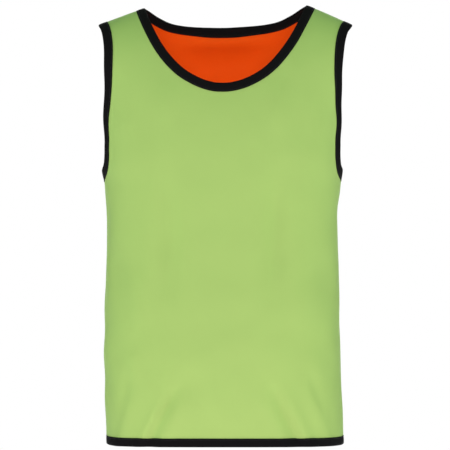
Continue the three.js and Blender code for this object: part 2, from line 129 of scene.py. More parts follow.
# Soft folds: x and z at the start, x and z at the end, half width and height. The x counts
# over the cloth from the front's centre line, and in the second table from the back's.
FRONT_FOLDS = [
    (-88, -240, -86, -500, 18, -6.2),
    (87, -236, 84, -500, 18, -6.6),
    (-134, -420, -132, -530, 22, 2.6),
    (131, -430, 133, -540, 22, 2.6),
    (-136, -545, -158, -612, 18, 2.2),
    (138, -545, 160, -615, 18, 2.2),
    (-184, -358, -182, -512, 27, -3.8),
    (183, -364, 184, -518, 27, -3.8),
    (-152, -565, -178, -680, 10, -1.9),
    (136, -560, 170, -676, 10, -1.5),
    (-68, -600, -127, -712, 9, -5.4),
    (70, -598, 124, -712, 9, -5.2),
    (-52, -620, -104, -712, 9, 1.8),
    (51, -616, 99, -712, 9, 1.7),
    (-88, -616, -144, -712, 9, 2.2),
    (90, -612, 139, -712, 9, 2.0),
    (-104, -622, -154, -712, 8, -0.9),
    (112, -604, 156, -712, 8, -0.8),
    (-138, -610, -186, -712, 10, 1.8),
    (124, -590, 184, -712, 10, 1.6),
    (-236, -198, -128, -192, 22, 2.4),
    (236, -196, 128, -190, 22, 2.4),
    (-190, -238, -189, -252, 6, -1.8),
    (190, -238, 189, -252, 6, -1.8),
    (-100, -112, -84, -210, 22, 2.0),
    (100, -112, 84, -210, 22, 2.0),
]

BACK_FOLDS = [
    (-104, -50, 104, -49, 12, -12.5),
    (-96, -88, 92, -86, 14, 3.6),
    (-84, -18, 84, -18, 26, 6.0),
    (-92, -290, -104, -530, 22, -6.0),
    (84, -320, 98, -570, 21, -5.6),
    (-14, -380, 6, -600, 24, -4.0),
    (-52, -560, -40, -712, 22, 3.8),
    (60, -600, 78, -712, 19, 3.4),
    (-22, -640, -12, -712, 12, -2.2),
    (110, -640, 124, -712, 12, 2.4),
    (-104, -640, -120, -712, 12, 2.4),
    (148, -560, 164, -712, 18, -3.4),
    (-142, -600, -160, -712, 18, -3.4),
    (-150, -150, -116, -280, 20, -4.4),
    (152, -160, 112, -272, 20, -4.4),
    (-40, -110, 30, -126, 14, 1.4),
]


def fold_table() -> list[Fold]:
    """Returns every fold of both faces."""
    front = [Fold(Face.FRONT, *row) for row in FRONT_FOLDS]
    return front + [Fold(Face.BACK, *row) for row in BACK_FOLDS]


def beside(sizes: Array, turn: Array) -> Array:
    """Lines sizes up with a grid of angles, where the angles are a grid."""
    return sizes[..., None] if turn.ndim > sizes.ndim else sizes


def smooth_step(part: Array) -> Array:
    """Eases a part of a way, so that it starts and ends level."""
    part = np.clip(part, 0, 1)
    return part * part * (3 - 2 * part)


def unit(ways: Array) -> Array:
    """Rows of directions, each brought to length 1."""
    return ways / np.linalg.norm(ways, axis=1, keepdims=True)


def run_lengths(points: Array) -> Array:
    """How far along a line each of its points lies."""
    steps = np.linalg.norm(np.diff(points, axis=0), axis=1)
    return np.concatenate([[0], np.cumsum(steps)])


def at_lengths(wanted: Array, lengths: Array, values: Array, period: float | None = None) -> Array:
    """Reads the columns of a table between its rows.

    Args:
        wanted: The lengths to read at.
        lengths: The length of each row.
        values: The table.
        period: The length after which a closed line starts again.

    Returns:
        A row for each wanted length.
    """
    columns = [np.interp(wanted, lengths, column, period=period) for column in values.T]
    return np.stack(columns, axis=1)


@dataclass
class BibForm:
    """The worn form of the bib: a smooth surface, with a share across and a level up it.

    The share runs from -1 to 1 over a face, from side seam to side seam, in equal lengths of
    cloth. The level counts up the cloth from the hem. Lengths are in millimetres.
    """

    hem_z: float = -710.0
    hem_rise: float = 3.0
    hem_rise_fade: float = 110.0
    chest_z: float = -220.0
    neck_point_x: float = 132.0
    neck_point_z: float = -1.2
    shoulder_tip_x: float = 204.8
    shoulder_spread: float = 125.0
    shoulder_slope: float = 0.44
    slope_start_x: float = 105.0
    slope_rounding: float = 40.0
    shoulder_lean: float = 2.6
    arc_samples: int = 36
    rings: tuple[Ring, ...] = (
        Ring(-711, 191.2, 121, 106, 2.5, 0.5),
        Ring(-640, 191.3, 118, 102, 2.5, 3.0),
        Ring(-560, 190.3, 114, 98, 2.5, 5.2),
        Ring(-480, 189.2, 111, 95, 2.5, 5.4),
        Ring(-420, 187.7, 110, 94, 2.5, 5.0),
        Ring(-365, 186.0, 111.5, 96, 2.5, 5.0),
        Ring(-330, 186.6, 114, 99, 2.5, 5.2),
        Ring(-305, 188.8, 116.5, 101, 2.5, 5.2),
        Ring(-284, 190.6, 118.5, 103, 2.5, 5.0),
        Ring(-264, 194.4, 120, 105, 2.55, 5.0),
        Ring(-242, 197.2, 121.5, 107, 2.6, 4.8),
        Ring(-220, 198.0, 122, 108, 2.6, 4.6),
    )
    folds: list[Fold] = field(default_factory=fold_table)
    fold_taper: float = 0.42
    ripple_seed: int = 11
    ripple_count: int = 14
    ripple_height: float = 0.16
    ripple_shortest: float = 38.0
    ripple_longest: float = 110.0
    share_reach: float = 0.004
    level_reach: float = 1.5

    def __post_init__(self) -> None:
        """Works out the levels of the chest and the ridge, the ridge's reach and the ripples."""
        self.chest_level = self.chest_z - self.hem_z
        self.dome_height = float(self.ridge_fall(np.array(self.neck_point_x)))
        self.dome_height += self.neck_point_z - self.chest_z
        chest_front = self.rings[-1].front
        rms = math.sqrt((self.dome_height**2 + chest_front**2) / 2)
        self.dome_length = math.pi / 2 * rms
        self.top_level = self.chest_level + self.dome_length
        rng = np.random.default_rng(self.ripple_seed)
        turn = rng.uniform(0, math.pi, self.ripple_count)
        wave = rng.uniform(self.ripple_shortest, self.ripple_longest, self.ripple_count)
        self.ripple_x = np.cos(turn) * 2 * math.pi / wave
        self.ripple_z = np.sin(turn) * 2 * math.pi / wave
        self.ripple_at = rng.uniform(0, 2 * math.pi, self.ripple_count)
        self.ridge_side = float(self.ring_at(np.array([self.top_level]))["side"][0])

    def ridge_fall(self, x: Array) -> Array:
        """How far the shoulder ridge has fallen at a distance across.

        Args:
            x: Distances from the centre line.

        Returns:
            The fall at each.
        """
        past = np.abs(x) - self.slope_start_x
        return self.shoulder_slope / 2 * (past + np.hypot(past, self.slope_rounding))

    def body_rings(self, z: Array) -> Table:
        """Reads the ring table along smooth curves that end level at the chest.

        Args:
            z: Heights.

        Returns:
            The ring's sizes at each height.
        """
        heights = np.array([ring.z for ring in self.rings])
        at = np.clip(z, heights[0], heights[-1])
        i = np.clip(np.searchsorted(heights, at, side="right") - 1, 0, len(heights) - 2)
        span = heights[i + 1] - heights[i]
        t = (at - heights[i]) / span
        found = {}
        for key in ("side", "front", "back", "square", "sway"):
            values = np.array([getattr(ring, key) for ring in self.rings])
            slopes = np.zeros(len(values))
            slopes[0] = (values[1] - values[0]) / (heights[1] - heights[0])
            slopes[1:-1] = (values[2:] - values[:-2]) / (heights[2:] - heights[:-2])
            found[key] = (
                values[i] * (1 + 2 * t) * (1 - t) ** 2
                + slopes[i] * span * t * (1 - t) ** 2
                + values[i + 1] * t * t * (3 - 2 * t)
                + slopes[i + 1] * span * t * t * (t - 1)
            )
        return found

    def ring_at(self, level: Array) -> Table:
        """The ring at a level of the cloth.

        Args:
            level: Levels up the cloth from the hem.

        Returns:
            The ring's height and sizes, and how far it belongs to the yoke.
        """
        z = np.minimum(self.hem_z + level, self.chest_z)
        ring = self.body_rings(z)
        rise = np.clip((level - self.chest_level) / self.dome_length, 0, 1)
        up = np.sin(rise * math.pi / 2)
        out = np.maximum(0, np.cos(rise * math.pi / 2))
        ring["z"] = z + self.dome_height * up
        ring["side"] = ring["side"] + self.shoulder_spread * up * up
        ring["front"] = ring["front"] * out
        ring["back"] = ring["back"] * out
        ring["sway"] = ring["sway"] * (1 - up * up)
        ring["yoke"] = up**3
        return ring

    def quarter(self, ring: Table, face: Face, turn: Array) -> tuple[Array, Array]:
        """The point of a ring's quarter at an angle from the centre line.

        Args:
            ring: The rings' sizes.
            face: The face that the quarter lies on.
            turn: Angles, with the rings along the first axis.

        Returns:
            The distances across and the depths.
        """
        power = 2 / beside(ring["square"], turn)
        depth = ring["front"] if face is Face.FRONT else ring["back"]
        across = beside(ring["side"], turn) * np.maximum(0, np.sin(turn)) ** power
        y = face.value * beside(depth, turn) * np.maximum(0, np.cos(turn)) ** power
        return across, y

    def quarter_lengths(self, ring: Table, face: Face) -> Array:
        """Lengths along each ring's quarter, from the centre line to the side line.

        Args:
            ring: The rings' sizes.
            face: The face that the quarter lies on.

        Returns:
            A row of lengths for each ring.
        """
        turns = np.linspace(0, math.pi / 2, self.arc_samples + 1)
        grid = np.broadcast_to(turns, (*ring["side"].shape, len(turns)))
        across, y = self.quarter(ring, face, grid)
        steps = np.hypot(np.diff(across), np.diff(y))
        start = np.zeros((*ring["side"].shape, 1))
        return np.concatenate([start, np.cumsum(steps, axis=-1)], axis=-1)

    def share_across(self, face: Face, level: Array, across: Array) -> Array:
        """The share at which each level's ring is that far across.

        Args:
            face: The face of the ring.
            level: Levels of the cloth.
            across: Distances from the centre line.

        Returns:
            The shares, from 0 at the centre line to 1 at the side line.
        """
        ring = self.ring_at(level)
        part = np.minimum(1, across / ring["side"])
        turn = np.arcsin(part ** (ring["square"] / 2))
        lengths = self.quarter_lengths(ring, face)
        at = turn / (math.pi / 2) * self.arc_samples
        i = np.minimum(self.arc_samples - 1, np.floor(at).astype(int))
        row = np.arange(len(level))
        low, high = lengths[row, i], lengths[row, i + 1]
        return (low + (high - low) * (at - i)) / lengths[:, -1]

    def smooth_point(self, face: Face, share: Array, level: Array) -> Array:
        """Points of the form without folds.

        Args:
            face: The face of the bib.
            share: Shares across it.
            level: Levels up it.

        Returns:
            A row of x, y and z for each.
        """
        ring = self.ring_at(level)
        lengths = self.quarter_lengths(ring, face)
        wanted = np.abs(share) * lengths[:, -1]
        i = np.sum(lengths[:, 1:] < wanted[:, None], axis=1) + 1
        i = np.clip(i, 1, self.arc_samples)
        row = np.arange(len(level))
        low, high = lengths[row, i - 1], lengths[row, i]
        turn = (i - 1 + (wanted - low) / (high - low)) / self.arc_samples * math.pi / 2
        across, y = self.quarter(ring, face, turn)
        x = np.sign(share) * across
        lean = self.shoulder_lean * np.sin(math.pi * x / self.shoulder_tip_x)
        rise = self.hem_rise * np.cos(turn) ** 2 * np.exp(-level / self.hem_rise_fade)
        z = ring["z"] + rise - ring["yoke"] * (self.ridge_fall(x) - lean)
        return np.stack([x - ring["sway"], y, z], axis=1)

    def cloth_lengths(self, share: Array, level: Array, face: Face) -> tuple[Array, Array]:
        """Distances over the cloth from both centre lines.

        Args:
            share: Shares across the face.
            level: Levels up it.
            face: The face of the bib.

        Returns:
            The distance from the face's own centre line, and from the other face's.
        """
        ring = self.ring_at(level)
        own_face = self.quarter_lengths(ring, face)[:, -1]
        other = Face.BACK if face is Face.FRONT else Face.FRONT
        other_face = self.quarter_lengths(ring, other)[:, -1]
        own = np.abs(share) * own_face
        return own, own_face + other_face - own

    def fold_height(self, face: Face, share: Array, level: Array) -> Array:
        """How far the folds and ripples stand out.

        Args:
            face: The face of the bib.
            share: Shares across it.
            level: Levels up it.

        Returns:
            The height at each place, negative where it is sunk in.
        """
        ring = self.ring_at(level)
        own, other = self.cloth_lengths(share, level, face)
        z = ring["z"]
        out = np.zeros(len(share))
        hand = np.where(share < 0, -1, 1)
        for fold in self.folds:
            across = hand * (own if fold.face is face else other)
            run_x, run_z = fold.x1 - fold.x0, fold.z1 - fold.z0
            t = (across - fold.x0) * run_x + (z - fold.z0) * run_z
            t = np.clip(t / (run_x**2 + run_z**2), 0, 1)
            away = np.hypot(across - fold.x0 - t * run_x, z - fold.z0 - t * run_z)
            ends = t if fold.z1 <= self.hem_z else np.minimum(t, 1 - t)
            swell = smooth_step(ends / self.fold_taper)
            out += fold.out * swell * np.exp(-((away / fold.width) ** 2))
        around = hand * (own if face is Face.FRONT else other)
        waves = np.outer(around, self.ripple_x) + np.outer(z, self.ripple_z)
        out += self.ripple_height * np.sum(np.sin(waves + self.ripple_at), axis=1)
        return out * (1 - ring["yoke"] ** 2)

    def normal(self, face: Face, share: Array, level: Array, folded: bool) -> Array:
        """Outward normals of the form.

        Args:
            face: The face of the bib.
            share: Shares across it.
            level: Levels up it.
            folded: Whether the folds count.

        Returns:
            A unit vector for each place.
        """
        point = self.cloth_point if folded else self.smooth_point
        across = point(face, np.minimum(1, share + self.share_reach), level)
        across -= point(face, np.maximum(-1, share - self.share_reach), level)
        up = point(face, share, np.minimum(self.top_level, level + self.level_reach))
        up -= point(face, share, np.maximum(0, level - self.level_reach))
        return unit(-face.value * np.cross(across, up))

    def cloth_point(self, face: Face, share: Array, level: Array) -> Array:
        """Points midway between the two layers, folds included.

        Args:
            face: The face of the bib.
            share: Shares across it.
            level: Levels up it.

        Returns:
            A row of x, y and z for each.
        """
        base = self.smooth_point(face, share, level)
        normal = self.normal(face, share, level, folded=False)
        return base + normal * self.fold_height(face, share, level)[:, None]


def pattern_curve(knots: Array, before: Array, after: Array) -> Array:
    """A smooth curve through pattern points of share and level.

    Args:
        knots: The points.
        before: The point that the curve comes from.
        after: The point that it goes on to.

    Returns:
        Closely spaced points from the first knot to the last.
    """
    points = np.vstack([before, knots, after])
    gaps = np.diff(points, axis=0) * np.array([SHARE_LENGTH, 1.0])
    steps = np.sqrt(np.linalg.norm(gaps, axis=1))
    found = []
    for i in range(1, len(points) - 2):
        p0, p1, p2, p3 = points[i - 1 : i + 3]
        t1 = steps[i - 1]
        t2 = t1 + steps[i]
        t3 = t2 + steps[i + 1]
        t = t1 + (t2 - t1) * np.arange(CURVE_STEPS)[:, None] / CURVE_STEPS
        a1 = (p0 * (t1 - t) + p1 * t) / t1
        a2 = (p1 * (t2 - t) + p2 * (t - t1)) / (t2 - t1)
        a3 = (p2 * (t3 - t) + p3 * (t - t2)) / (t3 - t2)
        b1 = (a1 * (t2 - t) + a2 * t) / t2
        b2 = (a2 * (t3 - t) + a3 * (t - t1)) / (t3 - t1)
        found.append((b1 * (t2 - t) + b2 * (t - t1)) / (t2 - t1))
    return np.vstack([*found, knots[-1:]])


@dataclass
class Pattern:
    """The cut of the panels: their edges and the strips of cloth under the tape."""

    form: BibForm
    neck_width: float = 13.6
    armhole_width: float = 14.2
    hem_width: float = 12.6
    seam_gap: float = 0.01
    underarm_z: float = -266.5
    neck_steps: int = 40
    shoulder_steps: int = 10
    armhole_steps: int = 54
    side_steps: int = 76
    armhole_close: tuple[float, float] = (0.004, 0.0095)
    hem_close: tuple[float, float, float] = (0.0, 1.3, 3.0)
    hem_start: float = 5.2
    neck_lead: tuple[float, float] = (-0.3, 1.0)
    armhole_lead: tuple[float, float] = (1.0, 0.6)
    neck_slope_share: float = 0.8
    probe: float = 0.01
    neck_front: tuple[CutPoint, ...] = (
        CutPoint(0, -130.2),
        CutPoint(29, -125.2),
        CutPoint(59.8, -109.2),
        CutPoint(78.6, -92.6),
        CutPoint(92.4, -75.8),
        CutPoint(104.0, -58.4),
        CutPoint(113.2, -41.4),
        CutPoint(123.5, -20.0),
    )
    neck_back: tuple[CutPoint, ...] = (
        CutPoint(0, -31.5),
        CutPoint(40, -29.0),
        CutPoint(71, -25.0),
        CutPoint(90, -20.6),
        CutPoint(105, -13.8),
        CutPoint(118, -6.4),
    )
    armhole_front: tuple[CutPoint, ...] = (
        CutPoint(190.8, -258.5),
        CutPoint(188.8, -243),
        CutPoint(188.2, -224),
        CutPoint(188.8, -186),
        CutPoint(189.3, -147),
        CutPoint(190.0, -104),
        CutPoint(191.0, -79),
        CutPoint(193.6, -58),
        CutPoint(198.6, -40.5),
    )
    armhole_back: tuple[CutPoint, ...] = (
        CutPoint(191.4, -258.5),
        CutPoint(189.6, -243),
        CutPoint(189.2, -224),
        CutPoint(190.0, -186),
        CutPoint(190.4, -147),
        CutPoint(190.8, -104),
        CutPoint(191.6, -79),
        CutPoint(194.0, -58),
        CutPoint(198.8, -40.5),
    )

    def __post_init__(self) -> None:
        """Works out where the panels end at the seams."""
        self.seam_share = 1 - self.seam_gap / HALF_BACK
        self.seam_level = self.form.top_level - self.seam_gap * 2

    def knots(self, face: Face, rows: tuple[CutPoint, ...]) -> Array:
        """Turns cut points into shares and levels.

        Args:
            face: The face of the panel.
            rows: The cut points.

        Returns:
            A row of share and level for each.
        """
        across = np.array([row.across for row in rows], float)
        z = np.array([row.z for row in rows], float)
        low, high = np.zeros(len(rows)), np.full(len(rows), self.form.top_level)
        for _ in range(HALVINGS):
            middle = (low + high) / 2
            share = self.form.share_across(face, middle, across)
            under = self.form.smooth_point(face, share, middle)[:, 2] < z
            low, high = np.where(under, middle, low), np.where(under, high, middle)
        level = (low + high) / 2
        return np.stack([self.form.share_across(face, level, across), level], axis=1)

    def even(self, face: Face, curve: Array, parts: Array) -> Array:
        """Places along a curve at parts of its length over the cloth.

        Args:
            face: The face of the panel.
            curve: Closely spaced shares and levels.
            parts: Parts of the whole length, from 0 to 1.

        Returns:
            A share and level for each part.
        """
        lengths = run_lengths(self.form.smooth_point(face, curve[:, 0], curve[:, 1]))
        return at_lengths(parts * lengths[-1], lengths, curve)

    def neck_edge(self, face: Face) -> Array:
        """Half of the neck's cut edge.

        Args:
            face: The face of the panel.

        Returns:
            Shares and levels from the centre to the shoulder seam.
        """
        rows = self.neck_front if face is Face.FRONT else self.neck_back
        knots = self.knots(face, rows)
        end = [self.form.neck_point_x / self.form.ridge_side, self.seam_level]
        before = knots[1] * [-1, 1]
        after = [knots[-1, 0], 2 * self.form.top_level - knots[-1, 1]]
        curve = pattern_curve(np.vstack([knots, end]), before, np.array(after))
        return self.even(face, curve, np.linspace(0, 1, self.neck_steps + 1))

    def armhole_edge(self, face: Face) -> Array:
        """An armhole's cut edge.

        Args:
            face: The face of the panel.

        Returns:
            Shares and levels from the underarm to the shoulder seam.
        """
        rows = self.armhole_front if face is Face.FRONT else self.armhole_back
        knots = self.knots(face, rows)
        side = self.knots(face, (CutPoint(PAST_THE_SIDE, self.underarm_z),))
        start = [self.seam_share, side[0, 1]]
        end = [self.form.shoulder_tip_x / self.form.ridge_side, self.seam_level]
        before = np.array([2 - knots[0, 0], knots[0, 1]])
        after = np.array([knots[-1, 0], 2 * self.form.top_level - knots[-1, 1]])
        curve = pattern_curve(np.vstack([start, knots, end]), before, after)
        parts = np.linspace(0, 1, self.armhole_steps + 1)
        close = np.array(self.armhole_close)
        return self.even(face, curve, np.sort(np.concatenate([parts, close, 1 - close])))

    def walk(
        self, face: Face, spots: Array, along: Array, lead: tuple[float, float], step: float
    ) -> Array:
        """Walks over the cloth at right angles to an edge.

        Args:
            face: The face of the panel.
            spots: Shares and levels to start from.
            along: The edge's direction at each.
            lead: The rough way to go, towards the centre line and downwards.
            step: How far to go.

        Returns:
            The shares and levels where the walk ends.
        """
        share, level = spots[:, 0], spots[:, 1]
        origin = self.form.smooth_point(face, share, level)
        by_share = self.form.smooth_point(face, share - self.probe, level) - origin
        by_level = self.form.smooth_point(face, share, level - 1) - origin
        aim = unit(np.cross(self.form.normal(face, share, level, folded=False), along))
        way = np.sum(aim * (by_share * lead[0] + by_level * lead[1]), axis=1)
        aim *= np.where(way < 0, -1, 1)[:, None]
        ss, sl = np.sum(by_share**2, axis=1), np.sum(by_share * by_level, axis=1)
        ll = np.sum(by_level**2, axis=1)
        to_s, to_l = np.sum(aim * by_share, axis=1), np.sum(aim * by_level, axis=1)
        whole = ss * ll - sl * sl
        share = share - self.probe * step * (to_s * ll - to_l * sl) / whole
        level = level - step * (to_l * ss - to_s * sl) / whole
        return np.stack([share, level], axis=1)

    def inset(
        self, face: Face, edge: Array, lead: tuple[float, float], distances: Array
    ) -> Array:
        """The strip of cloth under a tape.

        Args:
            face: The face of the panel.
            edge: Shares and levels of the cut edge.
            lead: The rough way into the panel.
            distances: How far in to go, rising from 0.

        Returns:
            An array of edge step, distance, and share and level.
        """
        points = self.form.smooth_point(face, edge[:, 0], edge[:, 1])
        along = np.gradient(points, axis=0)
        found = [edge]
        for step in np.diff(distances):
            spots = found[-1]
            for _ in range(2):
                spots = self.walk(face, spots, along, lead, step / 2)
            found.append(spots)
        return np.stack(found, axis=1)

    def neck_strip(self, face: Face, distances: Array) -> Array:
        """The whole neck's strip on a face.

        Args:
            face: The face of the panel.
            distances: How far in from the cut edge to go.

        Returns:
            The strip from the right shoulder to the left one.
        """
        half = self.inset(face, self.neck_edge(face), self.neck_lead, distances)
        half[0, :, 0] = 0
        half[-1, :, 1] = self.seam_level
        start = half[-1, 0, 0]
        slope = math.hypot(1, self.form.shoulder_slope * self.neck_slope_share)
        half[-1, :, 0] = start + distances / slope / self.form.ridge_side
        other = half[1:][::-1] * [-1, 1]
        return np.concatenate([other, half])

    def armhole_strip(self, face: Face, distances: Array) -> Array:
        """The left armhole's strip on a face.

        Args:
            face: The face of the panel.
            distances: How far in from the cut edge to go.

        Returns:
            The strip from the underarm to the shoulder.
        """
        strip = self.inset(face, self.armhole_edge(face), self.armhole_lead, distances)
        strip[0, :, 0] = self.seam_share
        strip[0, :, 1] = strip[0, 0, 1] - distances
        strip[-1, :, 1] = self.seam_level
        slope = math.hypot(1, self.form.shoulder_slope)
        strip[-1, :, 0] = strip[-1, 0, 0] - distances / slope / self.form.ridge_side
        return strip

    def bottom_parts(self) -> Array:
        """Lays points out across the hem, closer together beside the side seams.

        Returns:
            The share at each.
        """
        count = 2 * (self.neck_steps + self.shoulder_steps)
        close = np.array(self.hem_close) / HALF_PANEL
        start = self.hem_start / HALF_PANEL
        middle = np.linspace(-1 + start, 1 - start, count - 5)
        parts = np.concatenate([close - 1, middle, 1 - close[::-1]])
        return parts * self.seam_share

    def hem_strip(self, distances: Array) -> Array:
        """The hem's strip, the same on both faces.

        Args:
            distances: How far up from the cut edge to go.

        Returns:
            The strip from the right side seam to the left one.
        """
        shares = self.bottom_parts()
        strip = np.zeros((len(shares), len(distances), 2))
        strip[:, :, 0] = shares[:, None]
        strip[:, :, 1] = distances[None]
        return strip


def under_tape(width: float) -> Array:
    """Distances from a cut edge at which the cloth under a tape is laid out."""
    return np.array([0, width / 2, width])


def parts_along(line: Array, column: int) -> Array:
    """How far along its way a line has come in one column, from 0 to 1."""
    return (line[:, column] - line[0, column]) / (line[-1, column] - line[0, column])


@dataclass
class Panel:
    """One panel of the bib, from which the sheet of either layer is made."""

    pattern: Pattern
    face: Face
    seam_ridge: float = 1.0
    seam_allowance: float = 3.0
    seam_softness: float = 2.6
    groove_width: float = 1.3

    def __post_init__(self) -> None:
        """Lays out the panel's grid of shares and levels."""
        pattern, face = self.pattern, self.face
        hem = pattern.hem_strip(under_tape(pattern.hem_width))
        neck = pattern.neck_strip(face, under_tape(pattern.neck_width))
        left = pattern.armhole_strip(face, under_tape(pattern.armhole_width))
        right = left * [-1, 1]
        blocks = [self.middle_rows(hem, neck, right, left)]
        blocks.append(np.swapaxes(hem, 0, 1))
        blocks.append(np.swapaxes(neck, 0, 1)[::-1])
        blocks.append(right)
        blocks.append(left[:, ::-1])
        self.spots, self.quads = self.join(blocks)

    def middle_rows(self, hem: Array, neck: Array, right: Array, left: Array) -> Array:
        """Fills the panel between its strips.

        Args:
            hem: The hem's strip.
            neck: The neck's strip.
            right: The right armhole's strip.
            left: The left armhole's strip.

        Returns:
            Rows of shares and levels, from the hem to the neck.
        """
        pattern = self.pattern
        sides = []
        for strip in (right, left):
            foot, top = pattern.hem_width, strip[0, -1, 1]
            levels = np.linspace(foot, top, pattern.side_steps + 1)[:-1]
            shares = np.full(len(levels), strip[0, -1, 0])
            sides.append(np.vstack([np.stack([shares, levels], axis=1), strip[:, -1]]))
        across = neck[:, -1]
        parts = np.linspace(0, 1, pattern.shoulder_steps + 1)[:-1, None]
        start, end = right[-1, -1], left[-1, -1]
        top = np.vstack(
            [
                start + (across[0] - start) * parts,
                across,
                (end + (across[-1] - end) * parts)[::-1],
            ]
        )
        bottom = hem[:, -1]
        up = parts_along(sides[0], 1)[:, None]
        over = (1 - up) * parts_along(bottom, 0) + up * parts_along(top, 0)
        share = sides[0][:, :1] + (sides[1][:, :1] - sides[0][:, :1]) * over
        level = bottom[:, 1] + (top[:, 1] - bottom[:, 1]) * up
        return np.stack([share, level], axis=2)

    def join(self, blocks: list[Array]) -> tuple[Array, Array]:
        """Joins blocks of rows into one grid with shared points.

        Args:
            blocks: Arrays of rows of shares and levels.

        Returns:
            The different spots, and the corners of every cell.
        """
        flat = np.vstack([block.reshape(-1, 2) for block in blocks])
        keys = np.round(flat * [1e6, 1e3]).astype(np.int64)
        _, first, index = np.unique(keys, axis=0, return_index=True, return_inverse=True)
        index = index.reshape(-1)
        quads, start = [], 0
        for block in blocks:
            rows, columns = block.shape[:2]
            grid = index[start : start + rows * columns].reshape(rows, columns)
            start += rows * columns
            corners = [grid[:-1, :-1], grid[:-1, 1:], grid[1:, 1:], grid[1:, :-1]]
            quads.append(np.stack(corners, axis=2).reshape(-1, 4))
        found = np.vstack(quads)
        if self.face is Face.BACK:
            found = found[:, ::-1]
        return flat[first], found

    def seam_height(self) -> Array:
        """How far the seams lift the cloth: a low ridge with a groove down its middle.

        Returns:
            The height at each spot.
        """
        share, level = self.spots[:, 0], self.spots[:, 1]
        form = self.pattern.form
        own, _ = form.cloth_lengths(share, level, self.face)
        whole, _ = form.cloth_lengths(np.ones(len(share)), level, self.face)
        away = np.minimum(whole - own, form.top_level - level)
        ridge = np.exp(-(((away - self.seam_allowance) / self.seam_softness) ** 2))
        return self.seam_ridge * ridge * (1 - np.exp(-((away / self.groove_width) ** 2)))

    def sheet(self, layer: Layer, name: str, gap: float, cloth: float) -> bpy.types.Object:
        """Makes one layer of the panel.

        Args:
            layer: Which of the two layers.
            name: The piece's name.
            gap: The space between the layers.
            cloth: The cloth's thickness.

        Returns:
            The finished sheet.
        """
        form = self.pattern.form
        share, level = self.spots[:, 0], self.spots[:, 1]
        points = form.cloth_point(self.face, share, level)
        normals = form.normal(self.face, share, level, folded=True)
        height = layer.value * (gap / 2 + self.seam_height())
        points = points + normals * height[:, None]
        own, _ = form.cloth_lengths(share, level, self.face)
        weave = np.stack([np.sign(share) * own, level], axis=1) * MM
        made = mesh_object(name, points * MM, self.quads, weave)
        thicken(made, cloth * MM, layer.value)
        return made


def mesh_object(name: str, points: Array, quads: Array, uv: Array) -> bpy.types.Object:
    """Makes a smooth mesh object with a UV map in metres of cloth.

    Args:
        name: The object's name.
        points: Points in metres.
        quads: Corners of each face.
        uv: A place on the cloth for each point.

    Returns:
        The object, linked to the scene.
    """
    mesh = bpy.data.meshes.new(name)
    mesh.from_pydata(points.tolist(), [], quads.tolist())
    layer = mesh.uv_layers.new(name="cloth")
    corner = np.zeros(len(mesh.loops), np.int32)
    mesh.loops.foreach_get("vertex_index", corner)
    layer.data.foreach_set("uv", uv[corner].astype(np.float32).ravel())
    return link_mesh(mesh)


def link_mesh(mesh: bpy.types.Mesh) -> bpy.types.Object:
    """Makes a mesh smooth and puts it in the scene.

    Args:
        mesh: The mesh.

    Returns:
        Its object.
    """
    mesh.polygons.foreach_set("use_smooth", np.ones(len(mesh.polygons), bool))
    mesh.update()
    made = bpy.data.objects.new(mesh.name, mesh)
    bpy.context.scene.collection.objects.link(made)
    return made


def thicken(sheet: bpy.types.Object, thickness: float, offset: float) -> None:
    """Gives a sheet its thickness and applies it.

    Args:
        sheet: The sheet.
        thickness: Its thickness in metres.
        offset: 1 to grow along the normals, -1 against them.
    """
    bpy.ops.object.select_all(action="DESELECT")
    bpy.context.view_layer.objects.active = sheet
    sheet.select_set(True)
    wall = sheet.modifiers.new("wall", "SOLIDIFY")
    wall.thickness = thickness
    wall.offset = offset
    bpy.ops.object.modifier_apply(modifier=wall.name)
    bpy.ops.object.select_all(action="DESELECT")


@dataclass(frozen=True)
class Stitch:
    """One stitch: a short bent rod that narrows at both ends, in millimetres."""

    pitch: float = 3.1
    length: float = 2.3
    radius: float = 0.26
    end_part: float = 0.55
    flatness: float = 0.8
    dip: float = 0.16
    sides: int = 6
    rings: int = 4

    def points(self, place: Array, way: Array, across: Array, up: Array) -> Array:
        """Lays out a row of stitches.

        Args:
            place: The middle of each stitch.
            way: The direction that each runs in.
            across: The direction across each.
            up: The direction out of the tape at each.

        Returns:
            The points, stitch by stitch and ring by ring.
        """
        t = np.linspace(-1, 1, self.rings)[:, None]
        turn = np.arange(self.sides) / self.sides * 2 * math.pi
        at_end = np.arange(self.rings)[:, None] % (self.rings - 1) == 0
        size = self.radius * np.where(at_end, self.end_part, 1.0)
        run = np.broadcast_to(t * self.length / 2, (self.rings, self.sides))
        rise = np.sin(turn) * size * self.flatness - self.dip * t * t
        found = place[:, None, None]
        for ways, sizes in ((way, run), (across, np.cos(turn) * size), (up, rise)):
            found = found + ways[:, None, None] * sizes[..., None]
        return found.reshape(-1, 3)

    def faces(self, count: int) -> list[list[int]]:
        """Lists the corners of every face of the stitches.

        Args:
            count: How many stitches there are.

        Returns:
            The walls and the two ends of each stitch.
        """
        here = np.arange(self.rings * self.sides).reshape(self.rings, self.sides)
        beyond = np.roll(here, -1, axis=1)
        walls = np.stack([here[:-1], beyond[:-1], beyond[1:], here[1:]], axis=2)
        one = [*walls.reshape(-1, 4), here[0][::-1], here[-1]]
        starts = np.arange(count) * here.size
        return [(corners + start).tolist() for start in starts for corners in one]


